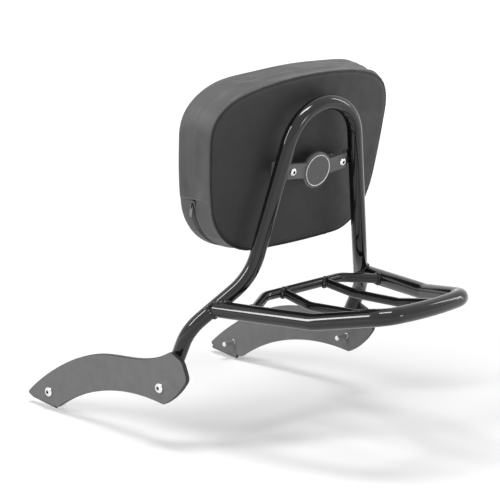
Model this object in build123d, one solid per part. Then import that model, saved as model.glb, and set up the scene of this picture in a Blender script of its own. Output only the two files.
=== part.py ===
from math import atan2, cos, hypot, radians, sin, sqrt, tan
import os

from build123d import *

os.makedirs("parts", exist_ok=True)

# Frame: X to the rider's right, Y to the front, Z up, origin midway between the two rear mounting screws

# Tubes
hoop_od = 20.0
hoop_wall = 2.0
rack_od = 22.0
rack_wall = 2.0
cross_od = 13.0
rail_od = 12.0
small_wall = 1.5
weld_gap = 0.05

# Hoop: the bracket centre, the lean of its plane, and the leg that tapers in towards the top
hoop_back = 113.0
hoop_height = 284.0
hoop_lean = 8.8
hoop_half_width = 70.9
leg_taper = 12.8
hoop_top_radius = 62.3
knee_drop = 129.9
knee_radius = 100.0
leg_bend_back = 38.0
leg_bend_height = 84.0
leg_bend_radius = 70.0
leg_end_back = 10.0
leg_end_height = 26.0
foot_cap = 3.0

# Side plates, drawn along the line through both screws
plate_inner = 171.5
plate_thickness = 6.0
plate_slope = 14.5
screw_spacing = 242.5
plate_hole_clearance = 0.25
plate_rear = -57.0
plate_rear_low = 8.0
plate_rear_high = 33.0
plate_rear_rake = 4.0
plate_crown = -33.0
plate_crown_height = 47.0
plate_dip = 36.0
plate_dip_height = 40.0
plate_crest = 110.0
plate_crest_height = 48.5
plate_shoulder = 210.0
plate_shoulder_height = 35.0
plate_tip = 296.0
plate_heel_height = -22.8
plate_heel_back = -28.0
plate_heel_bulge = -12.5
plate_arch_height = -1.5
plate_toe = 231.0
plate_edge = 0.6
lip_length = 8.0
lip_angle = 45.0
lip_thickness = 4.0

# Mounting screws, button heads with a hexagon socket
mount_screw_d = 8.0
mount_screw_length = 25.0
mount_head_d = 14.0
mount_head_height = 4.4
mount_socket = 5.0
mount_thread_d = 7.2

# Rack loop behind the hoop
rack_join_from_knee = 65.0
rack_end_setback = 5.0
rack_kink_half_width = 104.0
rack_kink_back = 211.0
rack_kink_height = 120.0
rack_kink_radius = 60.0
rack_corner_half_width = 71.0
rack_corner_back = 308.0
rack_corner_radius = 32.0
rack_rear_height = 140.0
rack_rear_bow = 9.0
rack_rear_radius = 320.0

# Cross tube and the two rails on top of it
cross_half_length = 70.0
cross_back = 87.0
cross_height = 122.0
cross_bend_radius = 25.0
cross_end_back = 118.0
rail_front_half = 38.0
rail_low_half = 43.0
rail_low_back = 143.0
rail_low_height = 115.0
rail_rise_half = 40.0
rail_rise_back = 223.0
rail_rise_height = 120.5
rail_rear_half = 31.0
rail_bend_radius = 60.0

# Bracket between the legs: a strip with a round centre, its ends stepped forward onto the legs
bracket_thickness = 4.0
bracket_setback = 1.5
bracket_disc_d = 49.0
bracket_arm_height = 20.5
bracket_arm_rise = 6.0
bracket_step_start = 53.5
bracket_step_end = 59.0
bracket_overlap = 2.0
bracket_bend = 2.0
badge_d = 40.0
badge_thickness = 1.5
badge_ring_width = 1.2
badge_ring_proud = 0.4
badge_gap = 0.05

# Pad screws and their spacers
pad_screw_offset = 45.4
pad_screw_d = 6.0
pad_screw_length = 35.0
pad_head_d = 10.5
pad_head_height = 3.3
pad_socket = 4.0
pad_thread_d = 5.4
pad_hole_clearance = 0.3
spacer_od = 9.0

# Pad, wrapped round an upright axis in front of it
pad_gap = 22.0
pad_wrap_radius = 724.0
pad_depth = 62.0
pad_edge_droop = 0.17
pad_droop_start = 30.0
pad_skin = 2.0
pad_edge_round = 12.0
pad_bottom = -105.0
pad_bottom_half = 138.9
pad_shoulder = 101.0
pad_shoulder_half = 166.0
pad_top = 124.0
pad_top_radius = 61.0
pad_bottom_radius = 75.0
board_thickness = 6.0
board_inset = 10.0
insert_od = 8.0
insert_flange_d = 16.0
insert_flange = 1.2
fit_gap = 0.05

# Zip in the lower gusset
zip_seam_height = -36.0
zip_seam_tilt = 12.8
zip_from_back = 32.0
zip_gap_width = 8.0
zip_tape_thickness = 1.2
zip_chain_width = 5.0
zip_chain_proud = 0.6
zip_chain_depth = 0.7
slider_drop = 9.0
slider_length = 9.0
slider_width = 7.6
slider_height = 3.0
slider_clearance = 0.15
bridge_length = 6.6
bridge_width = 1.6
bridge_height = 3.0
bridge_window_length = 3.8
bridge_window_height = 1.7
pull_length = 17.0
pull_width = 5.0
pull_thickness = 1.0
pull_eye_length = 4.4
pull_eye_width = 2.6
pull_bar = 1.1


def rod(path, radius):
    return sweep(Plane(origin=path @ 0, z_dir=path % 0) * Circle(radius), path=path)


def tube(path, od, wall):
    ring = Circle(od / 2) - Circle(od / 2 - wall)
    return sweep(Plane(origin=path @ 0, z_dir=path % 0) * ring, path=path)


def button_screw(diameter, plain, thread_d, length, head_d, head_height, socket):
    head = Pos(0, 0, head_height / 2) * Cylinder(head_d / 2, head_height)
    head = fillet(head.edges().group_by(Axis.Z)[-1], 0.72 * head_height)
    recess = extrude(RegularPolygon(socket / 2, 6, major_radius=False), 0.6 * head_height)
    head -= Pos(0, 0, 0.4 * head_height) * recess
    shank = Pos(0, 0, -plain / 2) * Cylinder(diameter / 2, plain)
    thread_length = length - plain
    thread = Pos(0, 0, -plain - thread_length / 2) * Cylinder(thread_d / 2, thread_length)
    thread = chamfer(thread.edges().group_by(Axis.Z)[0], 0.1 * diameter)
    return head + shank + thread


def rounded(face, corners):
    for point, radius in corners:
        corner = face.vertices().sort_by_distance(point)[0]
        face = fillet(corner, radius)
    return face


def write(name, *solids):
    shape = solids[0] if len(solids) == 1 else Compound(children=list(solids))
    export_step(shape, f"parts/{name}.step")


# Hoop path from the right foot over the top to the left foot
hoop_frame = Location((0, -hoop_back, hoop_height), (hoop_lean, 0, 0))
taper = tan(radians(leg_taper))
leg_foot = plate_inner - hoop_od / 2 - weld_gap


def in_hoop(x, forward, up):
    return (hoop_frame * Pos(x, forward, up)).position


def leg_points(side):
    foot = Vector(side * leg_foot, -leg_end_back, leg_end_height)
    bend = Vector(side * leg_foot, -leg_bend_back, leg_bend_height)
    knee = in_hoop(side * (hoop_half_width + knee_drop * taper), 0, -knee_drop)
    return [foot, bend, knee]


hoop_apex = in_hoop(0, 0, hoop_half_width / taper)
hoop_path = FilletPolyline(
    *leg_points(1),
    hoop_apex,
    *reversed(leg_points(-1)),
    radius=[leg_bend_radius, knee_radius, hoop_top_radius, knee_radius, leg_bend_radius],
)
hoop = tube(hoop_path, hoop_od, hoop_wall)
for end in (0, 1):
    inwards = hoop_path % end if end == 0 else -(hoop_path % end)
    hoop += Plane(origin=hoop_path @ end, z_dir=inwards) * extrude(Circle(hoop_od / 2), foot_cap)
hoop_envelope = rod(hoop_path, hoop_od / 2 + weld_gap)
write("hoop_tube", hoop)


# Rack loop, coped onto the slanting part of both legs
def rack_points(side):
    foot, bend, knee = leg_points(side)
    joint = knee + (bend - knee).normalized() * rack_join_from_knee
    kink = Vector(side * rack_kink_half_width, -rack_kink_back, rack_kink_height)
    corner = Vector(side * rack_corner_half_width, -rack_corner_back, rack_rear_height)
    start = joint + (kink - joint).normalized() * rack_end_setback
    return [start, kink, corner]


rack_rear = Vector(0, -rack_corner_back - rack_rear_bow, rack_rear_height)
rack_path = FilletPolyline(
    *rack_points(1),
    rack_rear,
    *reversed(rack_points(-1)),
    radius=[rack_kink_radius, rack_corner_radius, rack_rear_radius, rack_corner_radius, rack_kink_radius],
)
rack = tube(rack_path, rack_od, rack_wall) - hoop_envelope
rack_envelope = rod(rack_path, rack_od / 2 + weld_gap)
write("rack_loop", rack)


# Cross tube, its ends swept back onto the side tubes
def cross_points(side):
    start, kink, corner = rack_points(side)
    share = (-cross_end_back - start.Y) / (kink.Y - start.Y)
    end = start + (kink - start) * share
    return [end, Vector(side * cross_half_length, -cross_back, cross_height)]


cross_path = FilletPolyline(
    *cross_points(1),
    *reversed(cross_points(-1)),
    radius=cross_bend_radius,
)
cross = tube(cross_path, cross_od, small_wall) - rack_envelope
cross_envelope = rod(cross_path, cross_od / 2 + weld_gap)
write("rack_cross_tube", cross)


# Rails from the cross tube to the rear bar
def rail(side):
    front = Vector(side * rail_front_half, -cross_back, cross_height)
    low = Vector(side * rail_low_half, -rail_low_back, rail_low_height)
    rise = Vector(side * rail_rise_half, -rail_rise_back, rail_rise_height)
    share = rail_rear_half / rack_corner_half_width
    rear_back = rack_corner_back + rack_rear_bow * (1 - share)
    rear = Vector(side * rail_rear_half, -rear_back, rack_rear_height)
    path = FilletPolyline(front, low, rise, rear, radius=rail_bend_radius)
    return tube(path, rail_od, small_wall) - cross_envelope - rack_envelope


write("left_rack_rail", rail(-1))
write("right_rack_rail", rail(1))

# Side plates: a banana outline, a lip bent inwards along the front cut
slope = radians(plate_slope)
plate_plane = Plane(
    origin=(plate_inner, 0, 0),
    x_dir=(0, cos(slope), -sin(slope)),
    z_dir=(1, 0, 0),
)
heel = Vector(0, plate_heel_height)
toe = Vector(plate_toe, plate_heel_height)
tip = Vector(plate_tip, 0)
crown = Vector(plate_crown, plate_crown_height)
back_top = Vector(plate_rear + plate_rear_rake, plate_rear_high)
back_low = Vector(plate_rear, plate_rear_low)
top_edge = Spline(
    tip,
    (plate_shoulder, plate_shoulder_height),
    (plate_crest, plate_crest_height),
    (plate_dip, plate_dip_height),
    crown,
)
back_edge = Polyline(crown, back_top, back_low)
heel_edge = ThreePointArc(back_low, (plate_heel_back, plate_heel_bulge), heel)
arch_edge = ThreePointArc(heel, (plate_toe / 2, plate_arch_height), toe)
outline = make_face([top_edge, back_edge, heel_edge, arch_edge, Line(toe, tip)])
plate_corners = [(crown, 8), (back_top, 14), (back_low, 12), (heel, 6), (toe, 5), (tip, 3)]
outline = rounded(outline, plate_corners)
hole_radius = mount_screw_d / 2 + plate_hole_clearance
screw_places = [(0, 0), (screw_spacing, 0)]
blank = extrude(outline, plate_thickness)
blank = chamfer(blank.edges().group_by(Axis.Z)[-1], plate_edge)
cut = tip - toe
cut_length = cut.length - 16
cut_normal = Vector(cut.Y, -cut.X).normalized()
lip_plane = Plane(
    origin=(toe + tip) * 0.5 - cut.normalized() * cut_length / 2,
    x_dir=cut_normal,
    z_dir=cut.normalized(),
)
lip_turn = radians(lip_angle)
lip_out = Vector(lip_length * cos(lip_turn), lip_length * sin(lip_turn))
lip_in = lip_out + Vector(-sin(lip_turn), cos(lip_turn)) * lip_thickness
lip_outline = [
    (-2, -plate_thickness),
    (0, -plate_thickness),
    (lip_out.X, lip_out.Y - plate_thickness),
    (lip_in.X, lip_in.Y - plate_thickness),
    (-2, 0),
]
lip = extrude(lip_plane * make_face(Polyline(*lip_outline, close=True)), cut_length)
for place in screw_places:
    blank -= Pos(*place) * Cylinder(hole_radius, 4 * plate_thickness)
right_plate = plate_plane * (blank + lip)
write("right_side_plate", right_plate)
write("left_side_plate", mirror(right_plate, about=Plane.YZ))

# Mounting screws
mount_screw = button_screw(
    mount_screw_d,
    plate_thickness,
    mount_thread_d,
    mount_screw_length,
    mount_head_d,
    mount_head_height,
    mount_socket,
)
right_screws = [plate_plane * Pos(x, y, plate_thickness) * mount_screw for x, y in screw_places]
write("right_mounting_screws", *right_screws)
write("left_mounting_screws", *[mirror(screw, about=Plane.YZ) for screw in right_screws])

# Pad bracket: the bent strip seen from above, cut to its outline seen from behind
leg_at_arm = hoop_half_width - pad_screw_offset * tan(radians(bracket_arm_rise)) * taper
flange_end = leg_at_arm + bracket_overlap
flange_back = hoop_od / 2 + weld_gap
step_angle = atan2(flange_back - bracket_setback, bracket_step_end - bracket_step_start)
shift = bracket_thickness * tan(step_angle / 2)
half_back = [
    (bracket_step_start, bracket_setback),
    (bracket_step_end, flange_back),
    (flange_end, flange_back),
]
half_front = [
    (flange_end, flange_back + bracket_thickness),
    (bracket_step_end - shift, flange_back + bracket_thickness),
    (bracket_step_start - shift, bracket_setback + bracket_thickness),
]
half_strip = half_back + half_front
other_half = [(-x, y) for x, y in reversed(half_strip)]
strip = make_face(Polyline(*half_strip, *other_half, close=True))
bends = [half_back[0], half_back[1], half_front[1], half_front[2]]
strip = rounded(strip, [((side * x, y), bracket_bend) for side in (-1, 1) for x, y in bends])
strip = Pos(0, 0, -bracket_disc_d) * extrude(strip, 2 * bracket_disc_d)
arm = Pos(flange_end / 2, 0) * Rectangle(flange_end * 1.1, bracket_arm_height)
front_view = Circle(bracket_disc_d / 2)
front_view += Rot(0, 0, bracket_arm_rise) * arm
front_view += Rot(0, 0, 180 - bracket_arm_rise) * arm
bracket = strip & extrude(Plane.XZ * front_view, amount=-3 * flange_back)
pad_screw_rise = pad_screw_offset * tan(radians(bracket_arm_rise))
pad_screw_places = [(side * pad_screw_offset, pad_screw_rise) for side in (-1, 1)]
pad_hole = pad_screw_d / 2 + pad_hole_clearance


def along_pad(x, up, forward):
    return Pos(x, forward, up) * Rot(90, 0, 0)


def drill(radius, places, start, length):
    return [along_pad(x, up, start + length / 2) * Cylinder(radius, length) for x, up in places]


bracket -= drill(pad_hole, pad_screw_places, 0, 2 * flange_back)
write("pad_bracket", hoop_frame * bracket)

# Badge: a blank disc inside a bright ring, both on the bracket's rear face
disc_place = along_pad(0, 0, bracket_setback - badge_thickness / 2)
write("badge_disc", hoop_frame * disc_place * Cylinder(badge_d / 2, badge_thickness))
ring_inner = badge_d / 2 + badge_gap
ring_height = badge_thickness + badge_ring_proud
ring = Cylinder(ring_inner + badge_ring_width, ring_height) - Cylinder(ring_inner, ring_height)
ring_place = along_pad(0, 0, bracket_setback - ring_height / 2)
write("badge_ring", hoop_frame * ring_place * fillet(ring.edges().group_by(Axis.Z)[-1], 0.4))

# Pad body: the sewn outline carried forward, between two coaxial wraps
wrap_centre = pad_gap + pad_wrap_radius
front_radius = pad_wrap_radius - pad_depth
pad_reach = 3 * pad_depth
pad_tall = 4 * pad_top


def pad_outline(inset):
    bottom_left = (-pad_bottom_half, pad_bottom)
    bottom_right = (pad_bottom_half, pad_bottom)
    top_left = (-pad_shoulder_half, pad_shoulder)
    top_right = (pad_shoulder_half, pad_shoulder)
    edges = [
        Line(bottom_left, bottom_right),
        Line(bottom_right, top_right),
        ThreePointArc(top_right, (0, pad_top), top_left),
        Line(top_left, bottom_left),
    ]
    corners = [
        (bottom_left, pad_bottom_radius),
        (bottom_right, pad_bottom_radius),
        (top_left, pad_top_radius),
        (top_right, pad_top_radius),
    ]
    face = rounded(make_face(edges), corners)
    return offset(face, -inset) if inset else face


def wrap(outer, inner):
    return Pos(0, wrap_centre, 0) * (Cylinder(outer, pad_tall) - Cylinder(inner, pad_tall))


# The edge of the pad droops towards its front
def drooped(face):
    raised = Plane.XZ * Pos(0, pad_edge_droop * pad_droop_start) * face
    return extrude(raised, amount=pad_reach, dir=(0, 1, -pad_edge_droop))


def pad_prism(inset):
    return drooped(pad_outline(inset))


def pad_body(inset, round_radius):
    body = pad_prism(inset) & wrap(pad_wrap_radius - inset, front_radius + inset)
    rim = body.edges().filter_by(
        lambda e: abs(hypot((e @ 0.5).X, (e @ 0.5).Y - wrap_centre) - front_radius - inset) < 0.1
    )
    return fillet(rim, round_radius)


pad_outer = pad_body(0, pad_edge_round)
pad_inner = pad_body(pad_skin, pad_edge_round - pad_skin)
front_seam = front_radius + pad_edge_round
zip_radius = pad_wrap_radius - zip_from_back
zip_back = zip_radius + zip_gap_width / 2
zip_front = zip_radius - zip_gap_width / 2
cover = pad_outer - pad_inner

# Back panel, spacers, board and inserts share the two screw positions
back_panel = pad_outer & wrap(pad_wrap_radius, pad_wrap_radius - pad_skin)
back_panel -= drill(pad_hole, pad_screw_places, 0, pad_reach)
write("pad_back_panel", hoop_frame * back_panel)
write("pad_front_panel", hoop_frame * (cover & wrap(front_seam, front_radius)))

screw_seat = bracket_setback
spacer_start = bracket_setback + bracket_thickness
pad_screw = button_screw(
    pad_screw_d,
    bracket_thickness,
    pad_thread_d,
    pad_screw_length,
    pad_head_d,
    pad_head_height,
    pad_socket,
)
placed_screws = [along_pad(x, up, screw_seat) * pad_screw for x, up in pad_screw_places]
write("pad_screws", *[hoop_frame * screw for screw in placed_screws])

spacer_length = pad_gap + pad_skin + spacer_od - spacer_start
spacers = [
    body - bore - pad_outer
    for body, bore in zip(
        drill(spacer_od / 2, pad_screw_places, spacer_start, spacer_length),
        drill(pad_hole, pad_screw_places, spacer_start, 2 * spacer_length),
    )
]
write("pad_spacers", *[hoop_frame * spacer for spacer in spacers])

board_back = pad_wrap_radius - pad_skin
board_front = board_back - board_thickness
board = pad_prism(board_inset) & wrap(board_back, board_front)
board -= drill(insert_od / 2 + fit_gap, pad_screw_places, 0, pad_reach)
write("pad_backing_board", hoop_frame * board)

board_sag = pad_wrap_radius - sqrt(pad_wrap_radius**2 - pad_screw_offset**2)
insert_start = pad_gap + pad_skin + board_sag
insert_length = board_thickness + 1
insert = [
    barrel + flange - bore
    for barrel, flange, bore in zip(
        drill(insert_od / 2, pad_screw_places, insert_start + 1, insert_length - 1),
        drill(insert_flange_d / 2, pad_screw_places, insert_start + insert_length, insert_flange),
        drill(pad_thread_d / 2 + fit_gap, pad_screw_places, 0, pad_reach),
    )
]
write("pad_inserts", *[hoop_frame * piece for piece in insert])

foam = pad_inner - wrap(board_back + 1, board_front - fit_gap)
foam += (pad_inner & wrap(board_back, board_front - 1)) - pad_prism(board_inset - fit_gap)
pocket_end = insert_start + insert_length + insert_flange + fit_gap
foam -= drill(insert_flange_d / 2 + fit_gap, pad_screw_places, 0, pocket_end)
foam -= drill(pad_hole, pad_screw_places, 0, screw_seat + pad_screw_length + 1)
write("pad_foam", hoop_frame * foam)

# Gusset: one band over the top, and below the cross seams two strips with the zip between them
gusset = cover & wrap(pad_wrap_radius - pad_skin, front_seam)
seam_middle = pad_gap + pad_depth / 2
seam_box = Box(4 * pad_shoulder_half, pad_tall, pad_tall, align=(Align.CENTER, Align.CENTER, Align.MAX))
below_seam = Pos(0, seam_middle, zip_seam_height) * Rot(-zip_seam_tilt, 0, 0) * seam_box
write("pad_gusset", hoop_frame * (gusset - below_seam))
lower = gusset & below_seam
write("zip_gusset_rear", hoop_frame * (lower & wrap(pad_wrap_radius, zip_back)))
write("zip_gusset_front", hoop_frame * (lower & wrap(zip_front, front_radius)))

# Zip tape behind the gap and the chain of teeth on it
tape = (pad_prism(pad_skin - zip_tape_thickness) - pad_prism(pad_skin)) & wrap(zip_back, zip_front)
chain_inset = pad_skin - zip_tape_thickness
chain_band = offset(pad_outline(0), zip_chain_proud) - pad_outline(chain_inset)
chain = drooped(chain_band)
chain &= wrap(zip_radius + zip_chain_width / 2, zip_radius - zip_chain_width / 2)
write("zip_tape", hoop_frame * (tape & below_seam))
write("zip_chain", hoop_frame * (chain & below_seam))

# Zip slider on the left end of the zip, with its pull hung through the bridge
side_run = pad_shoulder_half - pad_bottom_half
side_rise = pad_shoulder - pad_bottom
side_length = hypot(side_run, side_rise)
slider_up = zip_seam_height - slider_drop
straight_x = pad_bottom_half + (slider_up - pad_bottom) * side_run / side_rise
straight_forward = wrap_centre - sqrt(zip_radius**2 - straight_x**2)
slider_fall = pad_edge_droop * (straight_forward - pad_droop_start)
slider_x = straight_x + slider_fall * side_run / side_rise
slider_forward = wrap_centre - sqrt(zip_radius**2 - slider_x**2)
outward = Vector(-side_rise / side_length, 0, -side_run / side_length)
downward = Vector(side_run / side_length, 0, -side_rise / side_length)
slider_plane = Plane(origin=(-slider_x, slider_forward, slider_up), x_dir=downward, z_dir=outward)
slider_base = zip_chain_proud + slider_clearance
slider = Pos(0, 0, slider_base + slider_height / 2) * Box(slider_length, slider_width, slider_height)
slider = fillet(slider.edges().filter_by(Axis.Z), 2.0)
slider = fillet(slider.edges().group_by(Axis.Z)[-1], 0.8)
bridge_base = slider_base + slider_height
bridge = Pos(0, 0, bridge_base + bridge_height / 2) * Box(bridge_length, bridge_width, bridge_height)
bridge = fillet(bridge.edges().group_by(Axis.Z)[-1].filter_by(Axis.Y), 1.0)
window = Box(bridge_window_length, 2 * bridge_width, bridge_window_height)
bridge -= Pos(0, 0, bridge_base + bridge_window_height / 2) * window
write("zip_slider", hoop_frame * (slider_plane * (slider + bridge)))

hinge_point = slider_plane.from_local_coords(Vector(0, 0, bridge_base + bridge_window_height / 2))
pull_plane = Plane(origin=hinge_point, x_dir=(0, 0, -1), z_dir=(-1, 0, 0))
pull_middle = pull_length / 2 - pull_bar / 2
tab = Pos(pull_middle, 0) * RectangleRounded(pull_length, pull_width, 0.5)
tab -= Pos(pull_bar / 2 + pull_eye_length / 2, 0) * Rectangle(pull_eye_length, pull_eye_width)
pull = Pos(0, 0, -pull_thickness / 2) * extrude(tab, pull_thickness)
write("zip_pull", hoop_frame * (pull_plane * pull))
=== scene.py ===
import bpy
import bmesh
from math import cos, exp, pi, radians, sin, sqrt
from mathutils import Matrix, Vector


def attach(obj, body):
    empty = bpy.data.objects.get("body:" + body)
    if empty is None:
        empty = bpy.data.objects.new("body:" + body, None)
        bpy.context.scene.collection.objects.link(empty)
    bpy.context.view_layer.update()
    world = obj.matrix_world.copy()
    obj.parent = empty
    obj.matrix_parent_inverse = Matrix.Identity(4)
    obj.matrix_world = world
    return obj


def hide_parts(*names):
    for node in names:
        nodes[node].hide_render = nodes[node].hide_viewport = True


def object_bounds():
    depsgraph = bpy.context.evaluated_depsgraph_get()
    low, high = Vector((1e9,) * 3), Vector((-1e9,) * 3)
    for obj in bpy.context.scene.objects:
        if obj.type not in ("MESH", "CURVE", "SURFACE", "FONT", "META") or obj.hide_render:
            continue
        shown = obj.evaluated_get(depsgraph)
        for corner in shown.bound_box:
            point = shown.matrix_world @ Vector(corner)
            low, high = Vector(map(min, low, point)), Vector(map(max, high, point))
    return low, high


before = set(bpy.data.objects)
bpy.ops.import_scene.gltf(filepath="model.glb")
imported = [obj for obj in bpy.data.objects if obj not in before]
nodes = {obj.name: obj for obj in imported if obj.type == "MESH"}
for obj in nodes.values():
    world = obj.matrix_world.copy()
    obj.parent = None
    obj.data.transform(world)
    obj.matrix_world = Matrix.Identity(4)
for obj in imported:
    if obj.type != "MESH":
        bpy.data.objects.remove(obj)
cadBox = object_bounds()
scene = bpy.context.scene
print("frame loaded,", len(nodes), "nodes")


# small helpers for node trees
def newMaterial(name, color, roughness, metallic=0.0):
    material = bpy.data.materials.new(name)
    material.use_nodes = True
    shader = material.node_tree.nodes["Principled BSDF"]
    shader.inputs["Base Color"].default_value = (*color, 1)
    shader.inputs["Roughness"].default_value = roughness
    shader.inputs["Metallic"].default_value = metallic
    return material, material.node_tree, shader


def addNoise(tree, scale, detail=3.0):
    coords = tree.nodes.new("ShaderNodeTexCoord")
    texture = tree.nodes.new("ShaderNodeTexNoise")
    texture.inputs["Scale"].default_value = scale
    texture.inputs["Detail"].default_value = detail
    tree.links.new(coords.outputs["Object"], texture.inputs["Vector"])
    return texture.outputs["Fac"]


def addCells(tree, scale):
    coords = tree.nodes.new("ShaderNodeTexCoord")
    texture = tree.nodes.new("ShaderNodeTexVoronoi")
    texture.inputs["Scale"].default_value = scale
    tree.links.new(coords.outputs["Object"], texture.inputs["Vector"])
    return texture.outputs["Distance"]


def addRange(tree, source, low, high, fromLow=0.3, fromHigh=0.7):
    node = tree.nodes.new("ShaderNodeMapRange")
    node.inputs["From Min"].default_value = fromLow
    node.inputs["From Max"].default_value = fromHigh
    node.inputs["To Min"].default_value = low
    node.inputs["To Max"].default_value = high
    tree.links.new(source, node.inputs["Value"])
    return node.outputs["Result"]


def addRamp(tree, source, dark, light):
    ramp = tree.nodes.new("ShaderNodeValToRGB")
    ramp.color_ramp.elements[0].position = 0.3
    ramp.color_ramp.elements[0].color = (*dark, 1)
    ramp.color_ramp.elements[1].position = 0.7
    ramp.color_ramp.elements[1].color = (*light, 1)
    tree.links.new(source, ramp.inputs["Fac"])
    return ramp.outputs["Color"]


def addBump(tree, shader, source, strength, distance, below=None):
    bump = tree.nodes.new("ShaderNodeBump")
    bump.inputs["Strength"].default_value = strength
    bump.inputs["Distance"].default_value = distance
    tree.links.new(source, bump.inputs["Height"])
    if below:
        tree.links.new(below, bump.inputs["Normal"])
    tree.links.new(bump.outputs["Normal"], shader.inputs["Normal"])
    return bump.outputs["Normal"]


# gloss black coat on the tubes: smooth, with a faint orange peel
def makeGlossCoat():
    material, tree, shader = newMaterial("glossBlackCoat", (0.006, 0.006, 0.0062), 0.12)
    shader.inputs["Specular IOR Level"].default_value = 0.36
    shader.inputs["Coat Weight"].default_value = 0.3
    shader.inputs["Coat Roughness"].default_value = 0.03
    tree.links.new(addRange(tree, addNoise(tree, 45), 0.08, 0.14), shader.inputs["Roughness"])
    addBump(tree, shader, addNoise(tree, 420, 1), 0.03, 0.0004)
    return material


# satin coat: colours of the faces and the cut edges, and how far sideways a face has to look; on the
# plates the grey of the sideways faces is a painted reflection over the black coat that the cut edges
# show
satin = {
    "dark": (0.118, 0.118, 0.12),
    "middle": (0.13, 0.13, 0.132),
    "light": (0.142, 0.142, 0.144),
    "cutEdge": (0.012, 0.012, 0.012),
    "edgeFrom": 0.76,
    "edgeTo": 0.95,
}


# satin black coat on the cut plates and the strip, with a fine sandy grain
def makeSatinCoat(name):
    material, tree, shader = newMaterial(name, satin["middle"], 0.45)
    faceColor = addRamp(tree, addNoise(tree, 60, 4), satin["dark"], satin["light"])
    tree.links.new(faceColor, shader.inputs["Base Color"])
    tree.links.new(addRange(tree, addNoise(tree, 90), 0.4, 0.52), shader.inputs["Roughness"])
    addBump(tree, shader, addNoise(tree, 2600, 2), 0.12, 0.0003)
    return material


# the plates' faces that look sideways get the satin grey as a painted reflection, and the cut edges,
# which don't face sideways, keep the dark coat colour
def makePlateCoat():
    material = makeSatinCoat("plateBlackCoat")
    tree = material.node_tree
    shader = tree.nodes["Principled BSDF"]
    faceColor = shader.inputs["Base Color"].links[0].from_socket
    coords = tree.nodes.new("ShaderNodeTexCoord")
    split = tree.nodes.new("ShaderNodeSeparateXYZ")
    tree.links.new(coords.outputs["Normal"], split.inputs["Vector"])
    sideways = tree.nodes.new("ShaderNodeMath")
    sideways.operation = "ABSOLUTE"
    tree.links.new(split.outputs["X"], sideways.inputs[0])
    mix = tree.nodes.new("ShaderNodeMix")
    mix.data_type = "RGBA"
    mix.inputs["A"].default_value = (*satin["cutEdge"], 1)
    tree.links.new(faceColor, mix.inputs["B"])
    share = addRange(tree, sideways.outputs["Value"], 0, 1, satin["edgeFrom"], satin["edgeTo"])
    tree.links.new(share, mix.inputs["Factor"])
    tree.links.new(mix.outputs["Result"], shader.inputs["Base Color"])
    return material


def makeBrightMetal(name, color, rough):
    material, tree, shader = newMaterial(name, color, rough, 1.0)
    worn = addRange(tree, addNoise(tree, 260), rough * 0.7, rough * 1.5)
    tree.links.new(worn, shader.inputs["Roughness"])
    addBump(tree, shader, addNoise(tree, 900, 2), 0.03, 0.0002)
    return material


# hexagon sockets of the screws: middle of each floor, and how far the painted shade in them reaches
sockets = {
    "floors": [
        (-0.17926, 0, 0), (0.17926, 0, 0),
        (-0.17926, 0.23478, -0.06072), (0.17926, 0.23478, -0.06072),
        (-0.0454, -0.11355, 0.28874), (0.0454, -0.11355, 0.28874),
    ],
    "reach": 0.0027,
    "blend": 0.0002,
    "color": (0.12, 0.12, 0.12),
}


# chrome screws with painted shade down in their hexagon sockets
def makeScrewChrome(color, rough):
    material = makeBrightMetal("screwChrome", color, rough)
    tree = material.node_tree
    coords = tree.nodes.new("ShaderNodeTexCoord")
    nearest = None
    for floor in sockets["floors"]:
        away = tree.nodes.new("ShaderNodeVectorMath")
        away.operation = "DISTANCE"
        away.inputs[1].default_value = floor
        tree.links.new(coords.outputs["Object"], away.inputs[0])
        found = away.outputs["Value"]
        if nearest:
            nearer = tree.nodes.new("ShaderNodeMath")
            nearer.operation = "MINIMUM"
            tree.links.new(nearest, nearer.inputs[0])
            tree.links.new(found, nearer.inputs[1])
            found = nearer.outputs["Value"]
        nearest = found
    inner = sockets["reach"] - sockets["blend"]
    outer = sockets["reach"] + sockets["blend"]
    edge = addRange(tree, nearest, 0, 1, inner, outer)
    shader = tree.nodes["Principled BSDF"]
    tree.links.new(addRamp(tree, edge, sockets["color"], color), shader.inputs["Base Color"])
    return material


# grained vinyl: small raised cells, soft creases, a little colour drift
def makeVinyl(name, dark, light, rough, grain):
    material, tree, shader = newMaterial(name, light, rough)
    tree.links.new(addRamp(tree, addNoise(tree, 14, 5), dark, light), shader.inputs["Base Color"])
    worn = addRange(tree, addNoise(tree, 55, 3), rough - 0.06, rough + 0.08)
    tree.links.new(worn, shader.inputs["Roughness"])
    soft = addBump(tree, shader, addNoise(tree, 38, 3), 0.10, 0.002)
    addBump(tree, shader, addCells(tree, 850), grain, 0.00035, soft)
    shader.inputs["Specular IOR Level"].default_value = 0.38
    shader.inputs["Sheen Weight"].default_value = 0.04
    shader.inputs["Sheen Roughness"].default_value = 0.4
    return material


def makePlain(name, dark, light, rough, scale, bump):
    material, tree, shader = newMaterial(name, light, rough)
    tree.links.new(addRamp(tree, addNoise(tree, scale, 4), dark, light), shader.inputs["Base Color"])
    addBump(tree, shader, addNoise(tree, scale * 3, 3), bump, 0.0006)
    return material


# woven zip tape with fine ribs
def makeTape():
    material, tree, shader = newMaterial("zipTapeCloth", (0.016, 0.016, 0.017), 0.8)
    coords = tree.nodes.new("ShaderNodeTexCoord")
    wave = tree.nodes.new("ShaderNodeTexWave")
    wave.inputs["Scale"].default_value = 900
    wave.inputs["Distortion"].default_value = 2.0
    tree.links.new(coords.outputs["Object"], wave.inputs["Vector"])
    ribs = addRamp(tree, wave.outputs["Fac"], (0.012, 0.012, 0.012), (0.03, 0.03, 0.031))
    tree.links.new(ribs, shader.inputs["Base Color"])
    addBump(tree, shader, wave.outputs["Fac"], 0.4, 0.0004)
    return material


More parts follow.
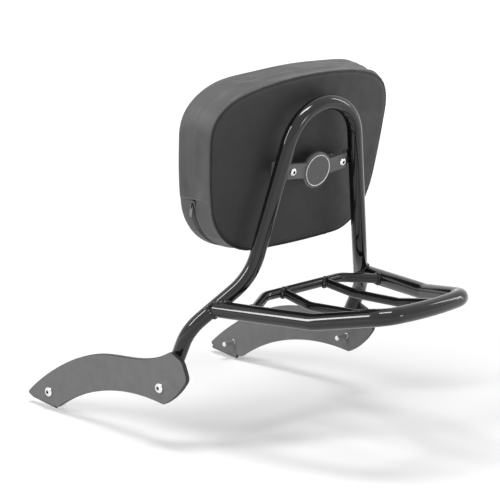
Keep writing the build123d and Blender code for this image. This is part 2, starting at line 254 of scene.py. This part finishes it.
glossCoat = makeGlossCoat()
satinCoat = makeSatinCoat("satinBlackCoat")
plateCoat = makePlateCoat()
screwChrome = makeScrewChrome((0.82, 0.82, 0.83), 0.12)
rimMetal = makeBrightMetal("badgeRimMetal", (0.62, 0.62, 0.63), 0.3)
sleeveSteel = makeBrightMetal("sleeveSteel", (0.5, 0.5, 0.5), 0.35)
zipMetal = makeBrightMetal("zipDarkMetal", (0.16, 0.16, 0.165), 0.28)
badgeFace = makePlain("badgeDarkFace", (0.085, 0.085, 0.087), (0.1, 0.1, 0.102), 0.4, 200, 0.04)
coverVinyl = makeVinyl("grainedCoverVinyl", (0.062, 0.062, 0.0635), (0.085, 0.085, 0.0865), 0.5, 0.28)
# back panel vinyl: smoother grain, and a darker colour than the cover vinyl, which is painted shade on
# the panel facing away from the lamps
shadedBackVinyl = makeVinyl("smoothShadedBackVinyl", (0.032, 0.032, 0.033), (0.041, 0.041, 0.042), 0.55, 0.16)
zipPlastic = makePlain("zipToothPlastic", (0.02, 0.02, 0.02), (0.035, 0.035, 0.035), 0.35, 400, 0.1)
foamYellow = makePlain("openFoam", (0.6, 0.55, 0.4), (0.75, 0.7, 0.55), 0.9, 300, 0.5)
plyWood = makePlain("plyBoard", (0.4, 0.28, 0.16), (0.58, 0.43, 0.27), 0.6, 40, 0.2)
tapeCloth = makeTape()
# near-black vinyl on the faces beside the back seam: painted shade along the seam crease
seamShadeVinyl = makeVinyl("seamShadeVinyl", (0.012, 0.012, 0.012), (0.018, 0.018, 0.018), 0.6, 0.1)
# lighter vinyl for the hems: painted highlight along the folded cross seams
hemHighlightVinyl = makeVinyl("hemHighlightVinyl", (0.11, 0.11, 0.112), (0.13, 0.13, 0.132), 0.45, 0.1)

finishes = {
    "hoop_tube": glossCoat, "rack_loop": glossCoat, "rack_cross_tube": glossCoat,
    "left_rack_rail": glossCoat, "right_rack_rail": glossCoat,
    "left_side_plate": plateCoat, "right_side_plate": plateCoat, "pad_bracket": satinCoat,
    "left_mounting_screws": screwChrome, "right_mounting_screws": screwChrome,
    "pad_screws": screwChrome, "pad_spacers": sleeveSteel, "pad_inserts": sleeveSteel,
    "badge_disc": badgeFace, "badge_ring": rimMetal,
    "pad_foam": foamYellow, "pad_backing_board": plyWood,
    "zip_tape": tapeCloth, "zip_chain": zipPlastic, "zip_slider": zipMetal, "zip_pull": zipMetal,
    "pad_front_panel": coverVinyl, "pad_back_panel": shadedBackVinyl, "pad_gusset": coverVinyl,
    "zip_gusset_rear": coverVinyl, "zip_gusset_front": coverVinyl,
}
for nodeName, material in finishes.items():
    nodes[nodeName].data.materials.clear()
    nodes[nodeName].data.materials.append(material)
print("materials set")


def addPiece(name, mesh, material, body="frame"):
    piece = bpy.data.objects.new(name, mesh)
    scene.collection.objects.link(piece)
    if not mesh.materials:
        mesh.materials.append(material)
    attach(piece, body)
    return piece


# the hoop's own frame: x across, y forward through the pad, z up along the legs
hoop = {"place": (0, -0.113, 0.284), "lean": 8.8}
hoopMatrix = Matrix.Translation(hoop["place"]) @ Matrix.Rotation(radians(hoop["lean"]), 4, "X")

# pad cover: outline points (x, up), direction there and handle lengths before and after
pad = {
    "outline": [
        ((0.0731, -0.105), (1.0, 0.0), 0.049, 0.0376),
        ((0.1473, -0.0398), (0.18, 0.9837), 0.039, 0.031),
        ((0.1579, 0.0457), (0.0819, 0.9966), 0.0383, 0.0365),
        ((0.1058, 0.1106), (-0.955, 0.2967), 0.0355, 0.0623),
    ],
    "middle": (0, 0.01, 0),
    "halfWide": 0.157,
    "halfHigh": 0.115,
    "gap": 0.022,
    "wrap": 0.724,
    "droop": 0.11,
    "seamValley": 0.0014,
    # depth of each gusset row and how far out it stands
    "gussetRows": [
        (0.0003, 0.0013), (0.0012, 0.0021), (0.004, 0.0023), (0.008, 0.0024),
        (0.014, 0.0033), (0.021, 0.0042), (0.0265, 0.005), (0.0275, 0.005),
        (0.0282, -0.0012), (0.032, -0.0014), (0.0358, -0.0012), (0.0365, 0.0058),
        (0.0375, 0.0058), (0.0425, 0.0064), (0.0475, 0.0066), (0.051, 0.0062),
        (0.0535, 0.0052),
    ],
    "sameRow": 0.0001,
    "zipRows": (0.028, 0.036),
    "lipRows": (0.0025, 0.01),
    "backRowsEnd": 0.0013,
    "frontFrom": 0.045,
    # above the cross seams: a row's depth, its new depth and how far it is raised
    "evenRows": [
        (0.0265, 0.0237, 0.0), (0.0275, 0.0264, 0.0), (0.0282, 0.0291, 0.0064),
        (0.032, 0.0317, 0.0069), (0.0358, 0.0344, 0.007), (0.0365, 0.0371, 0.0),
        (0.0375, 0.0398, 0.0003),
    ],
    "fullCorner": 0.004,
    "cornerAt": 0.11,
    "cornerSpread": 0.0014,
    "cornerDepth": 0.04,
    # inset and rise of each row on the front and back panels
    "frontRows": [
        (0.0012, 0.0004), (0.0022, 0.0024), (0.004, 0.0028),
        (0.006, 0.0024), (0.009, 0.0018), (0.012, 0.001),
    ],
    "backRows": [
        (0.0007, -0.0011), (0.0013, -0.0005), (0.004, 0.0002), (0.009, 0.0005), (0.014, 0.0006),
    ],
    "seamUp": -0.0345,
    "seamSlope": 0.03,
    "seamBlend": 0.0012,
    "seamStep": 0.0007,
    "seamStepFrom": 0.0015,
    "foamGap": 0.0014,
    "zipGap": 0.0004,
    "pullHollow": 0.005,
    "pullUp": 0.028,
    "pullDepth": 0.032,
    "pullSpread": (0.014, 0.012),
    "pullRows": (0.012, 0.052),
    "lipGap": 0.0026,
    "frontGap": 0.004,
    "pressure": 4.0,
    "stiffness": 25,
    "bending": 2,
    "frames": 20,
    "capFront": 0.008,
    "capSide": 0.003,
}


def finalMesh(holder):
    return bpy.data.meshes.new_from_object(holder.evaluated_get(bpy.context.evaluated_depsgraph_get()))


def outlineMesh():
    curve = bpy.data.curves.new("padOutline", "CURVE")
    curve.dimensions = "3D"
    curve.resolution_u = 32
    spline = curve.splines.new("BEZIER")
    right = pad["outline"]
    left = []
    for place, way, before, after in reversed(right):
        left.append(((-place[0], place[1]), (way[0], -way[1]), after, before))
    spline.bezier_points.add(len(right) * 2 - 1)
    for knot, (place, way, before, after) in zip(spline.bezier_points, right + left):
        knot.co = (*place, 0)
        knot.handle_left = (place[0] - way[0] * before, place[1] - way[1] * before, 0)
        knot.handle_right = (place[0] + way[0] * after, place[1] + way[1] * after, 0)
    spline.use_cyclic_u = True
    holder = bpy.data.objects.new("padOutline", curve)
    scene.collection.objects.link(holder)
    mesh = finalMesh(holder)
    bpy.data.objects.remove(holder)
    return mesh


# from the flat build (x, up, depth) to the wrapped and leaning pad
def toPad(point):
    wrap = pad["wrap"] - point[2]
    forward = pad["gap"] + pad["wrap"] - sqrt(wrap * wrap - point[0] * point[0])
    return hoopMatrix @ Vector((point[0], forward, point[1] - pad["droop"] * point[2]))


# a point of the flat build moved outward across the gusset
def moveOut(point, offset):
    x, up, depth = point
    middleUp = pad["middle"][1]
    wider = 1 + offset / pad["halfWide"]
    higher = 1 + offset / pad["halfHigh"]
    return Vector((x * wider, middleUp + (up - middleUp) * higher, depth))


def spreadVerts(bm, verts, offset):
    middle = Matrix.Translation(-Vector(pad["middle"]))
    wider = 1 + offset / pad["halfWide"]
    higher = 1 + offset / pad["halfHigh"]
    bmesh.ops.scale(bm, vec=(wider, higher, 1), space=middle, verts=verts)


# rows run in from the seam, and a grid of quads fills the rest of the panel
def fillPanel(bm, face, steps):
    for thickness, rise in steps:
        bmesh.ops.inset_region(bm, faces=[face], thickness=thickness, use_even_offset=True)
        bmesh.ops.translate(bm, vec=(0, 0, rise), verts=face.verts[:])
    rim = [loop.edge for loop in face.loops]
    side = len(rim) // 4
    bmesh.ops.delete(bm, geom=[face], context="FACES_ONLY")
    bmesh.ops.grid_fill(bm, edges=rim[:side] + rim[2 * side:3 * side])


def buildPadShell():
    flat = outlineMesh()
    bm = bmesh.new()
    bm.from_mesh(flat)
    bpy.data.meshes.remove(flat)
    back = bmesh.ops.contextual_create(bm, geom=bm.edges[:])["faces"][0]
    seamVerts = back.verts[:]
    front = back
    depth = 0.0
    offset = 0.0
    for rowDepth, rowOffset in pad["gussetRows"]:
        grown = bmesh.ops.extrude_face_region(bm, geom=[front])["geom"]
        if front is not back:
            bmesh.ops.delete(bm, geom=[front], context="FACES_ONLY")
        front = [item for item in grown if isinstance(item, bmesh.types.BMFace)][0]
        newVerts = [item for item in grown if isinstance(item, bmesh.types.BMVert)]
        bmesh.ops.translate(bm, vec=(0, 0, rowDepth - depth), verts=newVerts)
        spreadVerts(bm, newVerts, rowOffset - offset)
        depth, offset = rowDepth, rowOffset
    spreadVerts(bm, seamVerts, -pad["seamValley"])
    bmesh.ops.translate(bm, vec=(0, 0, pad["seamValley"]), verts=seamVerts)
    fillPanel(bm, front, pad["frontRows"])
    sides = set(bm.faces)
    fillPanel(bm, back, pad["backRows"])
    for face in bm.faces:
        face.smooth = True
        face.material_index = 0 if face in sides else 1
    # faces on both sides of the back seam take the near-black seam vinyl, painted shade in the seam
    # crease
    for edge in bm.edges:
        if len({face in sides for face in edge.link_faces}) == 2:
            for face in edge.link_faces:
                face.material_index = 2
    bmesh.ops.recalc_face_normals(bm, faces=bm.faces[:])
    return bm


def smoothStep(low, high, value):
    share = min(1, max(0, (value - low) / (high - low)))
    return share * share * (3 - 2 * share)


# where the zip strip runs: the gusset below the cross seams
def belowSeam(up, depth):
    level = pad["seamUp"] - pad["seamSlope"] * depth
    return smoothStep(level + pad["seamBlend"], level - pad["seamBlend"], up)


def sameRow(depth, row):
    return abs(depth - row) < pad["sameRow"]


def onZipRow(depth):
    low, high = pad["zipRows"]
    return any(sameRow(depth, row) for row, out in pad["gussetRows"] if low < row < high)


def makeCover():
    bm = buildPadShell()
    flat = [vert.co.copy() for vert in bm.verts]
    lastRow = pad["gussetRows"][-1][0]
    mesh = bpy.data.meshes.new("padCover")
    # zip valley: open only below the seams
    for vert, rest in zip(bm.verts, flat):
        inZipStrip = belowSeam(rest.y, rest.z)
        onGusset = pad["seamStepFrom"] < rest.z < lastRow + pad["sameRow"]
        if inZipStrip < 0.5:
            for row, even, raised in pad["evenRows"]:
                if sameRow(rest.z, row):
                    vert.co = moveOut(vert.co, raised)
                    vert.co.z = even
        elif onGusset and not onZipRow(rest.z):
            vert.co = moveOut(vert.co, -pad["seamStep"] * inZipStrip)
        far = (abs(rest.x) - pad["cornerAt"]) ** 2 + (rest.y - pad["cornerAt"]) ** 2
        deeper = smoothStep(0, pad["cornerDepth"], rest.z)
        vert.co = moveOut(vert.co, pad["fullCorner"] * exp(-far / pad["cornerSpread"]) * deeper)
    for vert in bm.verts:
        vert.co = toPad(vert.co)
    bm.to_mesh(mesh)
    bm.free()
    cover = addPiece("padCover", mesh, coverVinyl)
    mesh.materials.append(shadedBackVinyl)
    mesh.materials.append(seamShadeVinyl)
    held = cover.vertex_groups.new(name="held")
    for index, rest in enumerate(flat):
        onBack = rest.z < pad["backRowsEnd"]
        onSeam = sameRow(rest.z, lastRow)
        onZip = onZipRow(rest.z) and belowSeam(rest.y, rest.z) > 0.5
        if onBack or onSeam or onZip:
            held.add([index], 1.0, "REPLACE")
    puffCover(cover, flat, lastRow)
    hollowForPull(cover, flat)
    liftOffFoam(cover, flat)
    cover.vertex_groups.remove(held)
    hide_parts("pad_front_panel", "pad_back_panel", "pad_gusset",
                "zip_gusset_rear", "zip_gusset_front")
    return cover


# a shallow hollow above the slider, where the swung-up pull lies
def hollowForPull(cover, flat):
    low, high = pad["pullRows"]
    tall, wide = pad["pullSpread"]
    for vert, rest in zip(cover.data.vertices, flat):
        if rest.x < 0 and low < rest.z < high:
            far = ((rest.y + pad["pullUp"]) / tall) ** 2 + ((rest.z - pad["pullDepth"]) / wide) ** 2
            inward = Vector((pad["pullHollow"] * exp(-far), 0, 0))
            vert.co = vert.co + hoopMatrix.to_3x3() @ inward


# no point of the cover lies under the foam inside it
def liftOffFoam(cover, flat):
    lifted = 0
    for vert, rest in zip(cover.data.vertices, flat):
        found, place, normal, face = nodes["pad_foam"].closest_point_on_mesh(vert.co)
        gap = (vert.co - place).dot(normal)
        wanted = pad["foamGap"]
        if pad["zipRows"][0] < rest.z < pad["zipRows"][1]:
            wanted = pad["zipGap"]
        elif pad["lipRows"][0] < rest.z < pad["lipRows"][1]:
            wanted = pad["lipGap"]
        elif rest.z > pad["frontFrom"]:
            wanted = pad["frontGap"]
        if gap < wanted:
            vert.co = vert.co + normal * (wanted - gap)
            lifted += 1
    print("cover points lifted off the foam:", lifted)


# the cover is blown up a little between its seams, and no point moves past its cap
def puffCover(cover, flat, lastRow):
    cloth = cover.modifiers.new("puff", "CLOTH")
    cloth.settings.use_pressure = True
    cloth.settings.uniform_pressure_force = pad["pressure"]
    cloth.settings.effector_weights.gravity = 0
    cloth.settings.vertex_group_mass = "held"
    cloth.settings.tension_stiffness = pad["stiffness"]
    cloth.settings.compression_stiffness = pad["stiffness"]
    cloth.settings.bending_stiffness = pad["bending"]
    cloth.point_cache.frame_start = 1
    cloth.point_cache.frame_end = pad["frames"]
    for step in range(1, pad["frames"] + 1):
        scene.frame_set(step)
    puffed = finalMesh(cover)
    furthest = 0.0
    for vert, blown, rest in zip(cover.data.vertices, puffed.vertices, flat):
        move = blown.co - vert.co
        cap = pad["capFront"] if rest.z > lastRow else pad["capSide"]
        furthest = max(furthest, move.length)
        if move.length > cap:
            move = move.normalized() * cap
        if rest.z <= lastRow:
            move = vert.normal * max(0, move.dot(vert.normal))
        vert.co = vert.co + move
    cover.modifiers.remove(cloth)
    bpy.data.meshes.remove(puffed)
    scene.frame_set(1)
    print("cover puffed, furthest move %.1f mm" % (furthest * 1000))


cover = makeCover()
print("pad cover made")


def addCurves(name, runs, radius, material, closed):
    curve = bpy.data.curves.new(name, "CURVE")
    curve.dimensions = "3D"
    curve.bevel_depth = radius
    curve.bevel_resolution = 2
    curve.use_fill_caps = True
    for run in runs:
        spline = curve.splines.new("POLY")
        spline.points.add(len(run) - 1)
        for knot, (place, swell) in zip(spline.points, run):
            knot.co = (*place, 1)
            knot.radius = swell
        spline.use_cyclic_u = closed
    holder = bpy.data.objects.new(name, curve)
    scene.collection.objects.link(holder)
    mesh = finalMesh(holder)
    bpy.data.objects.remove(holder)
    mesh.name = name
    mesh.shade_smooth()
    return addPiece(name, mesh, material)


# zip teeth: small blocks from both sides in turn, along the outline below the cross seams
zipper = {
    "depth": 0.032,
    "pitch": 0.0015,
    "wide": 0.003,
    "reach": 0.001,
    "thick": 0.001,
    "bottom": -0.0008,
    "top": 0.0006,
}


def makeTeeth():
    flat = outlineMesh()
    track = [vert.co.copy() for vert in flat.vertices]
    bpy.data.meshes.remove(flat)
    bm = bmesh.new()
    run = 0.0
    count = 0
    for start, end in zip(track, track[1:] + track[:1]):
        along = (end - start).normalized()
        outward = Vector((along.y, -along.x, 0))
        run += (end - start).length
        while run > zipper["pitch"]:
            run -= zipper["pitch"]
            place = end - along * run
            if belowSeam(place.y, zipper["depth"]) < 0.9:
                continue
            side = 1 if count % 2 else -1
            count += 1
            middle = place + outward * (zipper["bottom"] + zipper["top"]) / 2
            middle.z = zipper["depth"] + side * zipper["reach"]
            tall = zipper["top"] - zipper["bottom"]
            size = (along * zipper["thick"], outward * tall, Vector((0, 0, zipper["wide"])))
            turn = Matrix(size).transposed().to_4x4()
            bmesh.ops.create_cube(bm, size=1, matrix=Matrix.Translation(middle) @ turn)
    for vert in bm.verts:
        vert.co = toPad(vert.co)
    bmesh.ops.recalc_face_normals(bm, faces=bm.faces[:])
    mesh = bpy.data.meshes.new("zipTeeth")
    bm.to_mesh(mesh)
    bm.free()
    teeth = addPiece("zipTeeth", mesh, zipPlastic)
    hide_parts("zip_chain")
    print("zip teeth made,", count)


makeTeeth()


hems = {
    "start": 0.0015,
    "length": 0.05,
    "points": 24,
    "above": 0.001,
    "out": 0.152,
    "proud": 0.0002,
    "radius": 0.0007,
}


# folded hem along both cross seams, laid on the puffed cover; its vinyl is lighter than the cover as a
# painted highlight on the fold
def makeHems():
    runs = []
    for side in (-1, 1):
        run = []
        for step in range(hems["points"]):
            depth = hems["start"] + hems["length"] * step / (hems["points"] - 1)
            up = pad["seamUp"] - pad["seamSlope"] * depth + hems["above"]
            guess = toPad(Vector((side * hems["out"], up, depth)))
            found, place, normal, face = cover.closest_point_on_mesh(guess)
            run.append((place + normal * hems["proud"], 1.0))
        runs.append(run)
    addCurves("hemEdges", runs, hems["radius"], hemHighlightVinyl, False)


makeHems()
print("hems laid")

# welds: a point on the branch, the point it runs to and its radius,
# then two points on the main tube and its radius
welds = {
    "bead": 0.0025,
    "ripple": 0.22,
    "rippleLength": 0.0028,
    "rippleSteps": 12,
    "rings": [
        ((0.104, -0.211, 0.120), (0.1368, -0.0602, 0.1129), 0.011,
         (0.1004, -0.0931, 0.1556), (0.16145, -0.038, 0.084), 0.010),
        ((0.070, -0.087, 0.122), (0.124, -0.118, 0.1156), 0.0065,
         (0.1368, -0.0602, 0.1129), (0.104, -0.211, 0.120), 0.011),
        ((0.043, -0.143, 0.115), (0.038, -0.087, 0.122), 0.006,
         (0, -0.087, 0.122), (0.06, -0.087, 0.122), 0.0065),
        ((0.040, -0.223, 0.1205), (0.031, -0.3131, 0.140), 0.006,
         (0.06, -0.3113, 0.140), (0.0, -0.317, 0.140), 0.011),
    ],
}


# each point round the branch runs along it until it meets the main tube
def weldRing(start, end, radius, mainStart, mainEnd, mainRadius):
    start, end = Vector(start), Vector(end)
    mainStart, mainEnd = Vector(mainStart), Vector(mainEnd)
    way = (end - start).normalized()
    axis = (mainEnd - mainStart).normalized()
    side = way.orthogonal().normalized()
    other = way.cross(side)
    flatWay = way - axis * way.dot(axis)
    run = []
    count = welds["rippleSteps"] * round(2 * pi * radius / welds["rippleLength"])
    for step in range(count):
        angle = 2 * pi * step / count
        place = start + (side * cos(angle) + other * sin(angle)) * radius
        across = place - mainStart
        across -= axis * across.dot(axis)
        square = flatWay.dot(flatWay)
        away = across.dot(flatWay)
        inside = away * away - square * (across.dot(across) - mainRadius * mainRadius)
        travel = (-away - sqrt(max(0, inside))) / square
        swell = 1 + welds["ripple"] * sin(2 * pi * step / welds["rippleSteps"])
        run.append((place + way * travel, swell))
    return run


def makeWelds():
    runs = []
    for start, end, radius, mainStart, mainEnd, mainRadius in welds["rings"]:
        for side in (1, -1):
            ends = (start, end, mainStart, mainEnd)
            places = [(side * place[0], place[1], place[2]) for place in ends]
            runs.append(weldRing(places[0], places[1], radius, places[2], places[3], mainRadius))
    addCurves("weldBeads", runs, welds["bead"], glossCoat, True)


makeWelds()
print("welds laid")

# camera where the photograph was taken from
camera = {
    "place": (-2.0730, -2.1855, 0.9359),
    "turn": (75.48, 0, -43.28),
    "lens": 166.0,
    "sensor": 36,
    "farthest": 50,
}
cameraData = bpy.data.cameras.new("camera")
cameraData.lens = camera["lens"]
cameraData.sensor_width = camera["sensor"]
cameraData.clip_end = camera["farthest"]
cameraObject = bpy.data.objects.new("camera", cameraData)
cameraObject.location = camera["place"]
cameraObject.rotation_euler = [radians(angle) for angle in camera["turn"]]
scene.collection.objects.link(cameraObject)
scene.camera = cameraObject

# floor, lamps and world; each lamp has its place, target, width, height and power
studio = {
    "floorSize": 30.0,
    "floorGap": 0.003,
    "glowFrom": 0.3,
    "glowTo": 2.4,
    "floorNear": 0.2,
    "floorFar": 0.86,
    "lamps": [
        ("topLamp", (-0.5, -0.5, 2.6), (0, -0.1, 0.2), 1.4, 0.5, 42),
        ("leftLamp", (-2.5, 0.9, 1.6), (0, 0, 0.2), 0.5, 1.6, 46),
        ("rightLamp", (2.3, -1.3, 1.1), (0, -0.1, 0.25), 0.3, 1.9, 13),
        ("lowLamp", (0.5, -2.6, 0.45), (0, -0.1, 0.3), 0.4, 0.4, 5),
    ],
    "worldSeen": 1.0,
    "worldLight": 0.24,
}


# white to the camera and in reflections, dimmer as a light
def splitByRay(tree, seen, other):
    rays = tree.nodes.new("ShaderNodeLightPath")
    found = rays.outputs["Is Camera Ray"]
    for name in ("Is Glossy Ray", "Is Transmission Ray"):
        either = tree.nodes.new("ShaderNodeMath")
        either.operation = "MAXIMUM"
        tree.links.new(found, either.inputs[0])
        tree.links.new(rays.outputs[name], either.inputs[1])
        found = either.outputs["Value"]
    level = tree.nodes.new("ShaderNodeMapRange")
    level.inputs["To Min"].default_value = other
    level.inputs["To Max"].default_value = seen
    tree.links.new(found, level.inputs["Value"])
    return level.outputs["Result"]


def makeFloor():
    bm = bmesh.new()
    bmesh.ops.create_grid(bm, x_segments=1, y_segments=1, size=studio["floorSize"] / 2)
    level = cadBox[0][2] - studio["floorGap"]
    bmesh.ops.translate(bm, vec=(0, 0, level), verts=bm.verts[:])
    mesh = bpy.data.meshes.new("floor")
    bm.to_mesh(mesh)
    bm.free()
    floor = bpy.data.objects.new("floor", mesh)
    scene.collection.objects.link(floor)
    material, tree, shader = newMaterial("paleFloor", (0.8, 0.8, 0.8), 0.9)
    shader.inputs["Specular IOR Level"].default_value = 0.0
    shader.inputs["Emission Color"].default_value = (1, 1, 1, 1)
    coords = tree.nodes.new("ShaderNodeTexCoord")
    away = tree.nodes.new("ShaderNodeVectorMath")
    away.operation = "LENGTH"
    tree.links.new(coords.outputs["Object"], away.inputs[0])
    glow = tree.nodes.new("ShaderNodeMath")
    glow.operation = "MULTIPLY"
    strength = addRange(tree, away.outputs["Value"], studio["floorNear"], studio["floorFar"],
                        studio["glowFrom"], studio["glowTo"])
    tree.links.new(strength, glow.inputs[0])
    tree.links.new(splitByRay(tree, 1.0, 0.0), glow.inputs[1])
    tree.links.new(glow.outputs["Value"], shader.inputs["Emission Strength"])
    mesh.materials.append(material)


def makeStudio():
    makeFloor()
    for name, place, target, width, height, power in studio["lamps"]:
        lamp = bpy.data.lights.new(name, "AREA")
        lamp.shape = "RECTANGLE"
        lamp.size = width
        lamp.size_y = height
        lamp.energy = power
        lampObject = bpy.data.objects.new(name, lamp)
        lampObject.location = place
        aim = Vector(target) - Vector(place)
        lampObject.rotation_euler = aim.to_track_quat("-Z", "Y").to_euler()
        scene.collection.objects.link(lampObject)
    world = bpy.data.worlds.new("paleWorld")
    world.use_nodes = True
    sky = world.node_tree.nodes["Background"]
    sky.inputs["Color"].default_value = (1, 1, 1, 1)
    strength = splitByRay(world.node_tree, studio["worldSeen"], studio["worldLight"])
    world.node_tree.links.new(strength, sky.inputs["Strength"])
    scene.world = world


makeStudio()
scene.view_settings.view_transform = "Standard"
print("studio set")
